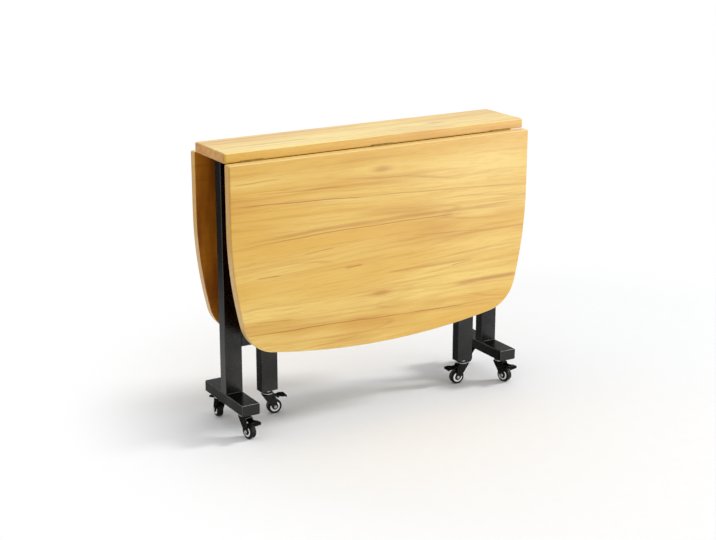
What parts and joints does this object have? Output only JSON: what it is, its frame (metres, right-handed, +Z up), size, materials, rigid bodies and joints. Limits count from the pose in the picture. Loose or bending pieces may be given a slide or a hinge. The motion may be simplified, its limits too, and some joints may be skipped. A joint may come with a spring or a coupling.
{
  "type": "folding dining table",
  "caption": "Drop-leaf dining table on braked casters: narrow centre board, hinged oval leaves and swinging gate legs on a black steel frame.",
  "frame": {"origin": "centre of the table's footprint, on the floor", "axes": "+X along the centre board to the right, +Y from the front leaf to the back leaf, +Z up"},
  "size_m": [0.9, 0.2507, 0.75],
  "materials": {
    "wood": "clear satin lacquer over pale honey wood",
    "black_steel": "semi-gloss black powder coat",
    "hinge_steel": "dark bronzed pressed steel",
    "zinc": "bright zinc plate",
    "bright_ring": "bright ring",
    "wheel_rubber": "smooth black moulded rubber",
    "black_plastic": "fine-textured black plastic"
  },
  "bodies": {
    "frame": {"top_board": "wood", "left_column": "black_steel", "right_column": "black_steel", "left_foot": "black_steel", "right_foot": "black_steel", "foot_end_caps": "black_plastic", "stretcher": "black_steel", "upper_rail": "black_steel", "top_plates": "black_steel", "top_hinge_plates": "hinge_steel", "hinge_pins": "hinge_steel", "gate_brackets": "black_steel", "gate_pivot_pins": "zinc", "foot_caster_stems": "zinc"},
    "front_leaf": {"front_leaf": "wood", "front_hinge_plates": "hinge_steel"},
    "back_leaf": {"back_leaf": "wood", "back_hinge_plates": "hinge_steel"},
    "front_gate": {"front_gate_leg": "black_steel", "front_gate_upper_arm": "black_steel", "front_gate_lower_arm": "black_steel", "front_gate_pivot_tube": "black_steel", "front_gate_pad": "black_plastic", "front_gate_caster_stem": "zinc"},
    "back_gate": {"back_gate_leg": "black_steel", "back_gate_upper_arm": "black_steel", "back_gate_lower_arm": "black_steel", "back_gate_pivot_tube": "black_steel", "back_gate_pad": "black_plastic", "back_gate_caster_stem": "zinc"},
    "front_left_fork": {"front_left_caster_fork": "black_steel", "front_left_caster_pins": "zinc"},
    "front_left_wheel": {"front_left_caster_wheel": "wheel_rubber", "front_left_caster_rings": "bright_ring"},
    "front_left_pedal": {"front_left_caster_pedal": "black_plastic"},
    "front_right_fork": {"front_right_caster_fork": "black_steel", "front_right_caster_pins": "zinc"},
    "front_right_wheel": {"front_right_caster_wheel": "wheel_rubber", "front_right_caster_rings": "bright_ring"},
    "front_right_pedal": {"front_right_caster_pedal": "black_plastic"},
    "back_left_fork": {"back_left_caster_fork": "black_steel", "back_left_caster_pins": "zinc"},
    "back_left_wheel": {"back_left_caster_wheel": "wheel_rubber", "back_left_caster_rings": "bright_ring"},
    "back_left_pedal": {"back_left_caster_pedal": "black_plastic"},
    "back_right_fork": {"back_right_caster_fork": "black_steel", "back_right_caster_pins": "zinc"},
    "back_right_wheel": {"back_right_caster_wheel": "wheel_rubber", "back_right_caster_rings": "bright_ring"},
    "back_right_pedal": {"back_right_caster_pedal": "black_plastic"},
    "front_gate_fork": {"front_gate_caster_fork": "black_steel", "front_gate_caster_pins": "zinc"},
    "front_gate_wheel": {"front_gate_caster_wheel": "wheel_rubber", "front_gate_caster_rings": "bright_ring"},
    "front_gate_pedal": {"front_gate_caster_pedal": "black_plastic"},
    "back_gate_fork": {"back_gate_caster_fork": "black_steel", "back_gate_caster_pins": "zinc"},
    "back_gate_wheel": {"back_gate_caster_wheel": "wheel_rubber", "back_gate_caster_rings": "bright_ring"},
    "back_gate_pedal": {"back_gate_caster_pedal": "black_plastic"}
  },
  "joints": [
    {"name": "front_leaf_lift", "type": "hinge", "parent": "frame", "child": "front_leaf", "pos_m": [0, -0.085, 0.7244], "axis": [-1, 0, 0], "range_deg": [0, 90]},
    {"name": "back_leaf_lift", "type": "hinge", "parent": "frame", "child": "back_leaf", "pos_m": [0, 0.085, 0.7244], "axis": [1, 0, 0], "range_deg": [0, 90]},
    {"name": "front_gate_swing", "type": "hinge", "parent": "frame", "child": "front_gate", "pos_m": [0.009, -0.035, 0.472], "axis": [0, 0, -1], "range_deg": [0, 6]},
    {"name": "back_gate_swing", "type": "hinge", "parent": "frame", "child": "back_gate", "pos_m": [0.009, 0.035, 0.472], "axis": [0, 0, -1], "range_deg": [0, 6]},
    {"name": "front_left_swivel", "type": "hinge", "parent": "frame", "child": "front_left_fork", "pos_m": [-0.404, -0.073, 0.057], "axis": [0, 0, 1], "continuous": true},
    {"name": "front_left_roll", "type": "hinge", "parent": "front_left_fork", "child": "front_left_wheel", "pos_m": [-0.40087, -0.09073, 0.02], "axis": [0.9848, 0.1736, 0], "continuous": true},
    {"name": "front_left_brake", "type": "hinge", "parent": "front_left_fork", "child": "front_left_pedal", "pos_m": [-0.40192, -0.08482, 0.048], "axis": [0.9848, 0.1736, 0], "range_deg": [0, 12]},
    {"name": "front_right_swivel", "type": "hinge", "parent": "frame", "child": "front_right_fork", "pos_m": [0.404, -0.073, 0.057], "axis": [0, 0, 1], "continuous": true},
    {"name": "front_right_roll", "type": "hinge", "parent": "front_right_fork", "child": "front_right_wheel", "pos_m": [0.40866, -0.09039, 0.02], "axis": [0.9659, 0.2588, 0], "continuous": true},
    {"name": "front_right_brake", "type": "hinge", "parent": "front_right_fork", "child": "front_right_pedal", "pos_m": [0.40711, -0.08459, 0.048], "axis": [0.9659, 0.2588, 0], "range_deg": [0, 12]},
    {"name": "back_left_swivel", "type": "hinge", "parent": "frame", "child": "back_left_fork", "pos_m": [-0.404, 0.073, 0.057], "axis": [0, 0, 1], "continuous": true},
    {"name": "back_left_roll", "type": "hinge", "parent": "back_left_fork", "child": "back_left_wheel", "pos_m": [-0.40149, 0.09082, 0.02], "axis": [-0.9903, 0.1392, 0], "continuous": true},
    {"name": "back_left_brake", "type": "hinge", "parent": "back_left_fork", "child": "back_left_pedal", "pos_m": [-0.40233, 0.08488, 0.048], "axis": [-0.9903, 0.1392, 0], "range_deg": [0, 12]},
    {"name": "back_right_swivel", "type": "hinge", "parent": "frame", "child": "back_right_fork", "pos_m": [0.404, 0.073, 0.057], "axis": [0, 0, 1], "continuous": true},
    {"name": "back_right_roll", "type": "hinge", "parent": "back_right_fork", "child": "back_right_wheel", "pos_m": [0.40087, 0.09073, 0.02], "axis": [-0.9848, -0.1736, 0], "continuous": true},
    {"name": "back_right_brake", "type": "hinge", "parent": "back_right_fork", "child": "back_right_pedal", "pos_m": [0.40192, 0.08482, 0.048], "axis": [-0.9848, -0.1736, 0], "range_deg": [0, 12]},
    {"name": "front_gate_swivel", "type": "hinge", "parent": "front_gate", "child": "front_gate_fork", "pos_m": [0.3005, -0.035, 0.057], "axis": [0, 0, 1], "continuous": true},
    {"name": "front_gate_roll", "type": "hinge", "parent": "front_gate_fork", "child": "front_gate_wheel", "pos_m": [0.28257, -0.03343, 0.02], "axis": [-0.0872, -0.9962, 0], "continuous": true},
    {"name": "front_gate_brake", "type": "hinge", "parent": "front_gate_fork", "child": "front_gate_pedal", "pos_m": [0.28855, -0.03395, 0.048], "axis": [-0.0872, -0.9962, 0], "range_deg": [0, 12]},
    {"name": "back_gate_swivel", "type": "hinge", "parent": "back_gate", "child": "back_gate_fork", "pos_m": [-0.2825, 0.035, 0.057], "axis": [0, 0, 1], "continuous": true},
    {"name": "back_gate_roll", "type": "hinge", "parent": "back_gate_fork", "child": "back_gate_wheel", "pos_m": [-0.26457, 0.03343, 0.02], "axis": [0.0872, 0.9962, 0], "continuous": true},
    {"name": "back_gate_brake", "type": "hinge", "parent": "back_gate_fork", "child": "back_gate_pedal", "pos_m": [-0.27055, 0.03395, 0.048], "axis": [0.0872, 0.9962, 0], "range_deg": [0, 12]}
  ]
}
